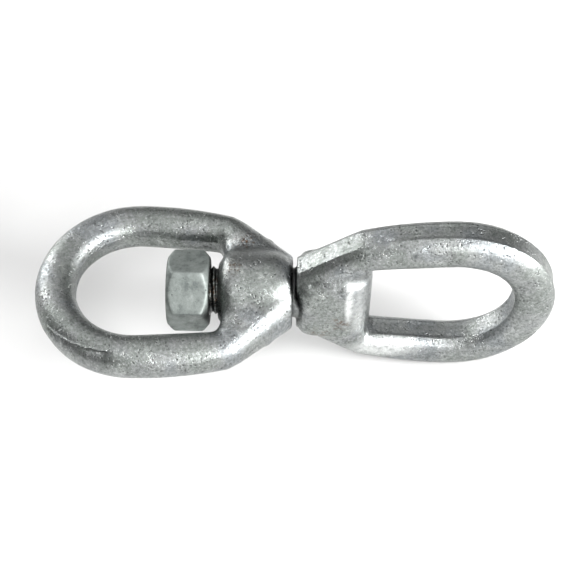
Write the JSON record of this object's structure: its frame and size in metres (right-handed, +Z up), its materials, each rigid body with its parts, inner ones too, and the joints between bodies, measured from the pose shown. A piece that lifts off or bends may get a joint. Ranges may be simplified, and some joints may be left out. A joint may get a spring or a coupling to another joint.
{
  "type": "double-eye chain swivel",
  "caption": "Forged galvanised steel swivel that joins two lines or chains, with a bowed eye at each end that turns freely about the bolt between them.",
  "frame": {"origin": "on the swivel axis, in the middle of the gap between the boss of the bow and the neck of the eye bolt, which is also the centre of the bounding box", "axes": "+X along the swivel axis towards the crown of the eye bolt's ring; the bow's ring lies in the XY plane and points to -X; the eye bolt's ring stands in the XZ plane; +Z is up"},
  "size_m": [0.1636, 0.0644, 0.0644],
  "materials": {
    "galvanised_forging": "hot-dip galvanised, uneven and slightly pitted over the forged scale",
    "galvanised_nut": "hot-dip galvanised, smooth and matt"
  },
  "bodies": {
    "bow": {"swivel_bow": "galvanised_forging"},
    "eye": {"eye_bolt": "galvanised_forging", "hex_nut": "galvanised_nut"}
  },
  "joints": [
    {"name": "swivel_turn", "type": "hinge", "parent": "bow", "child": "eye", "pos_m": [0, 0, 0], "axis": [1, 0, 0], "continuous": true}
  ]
}
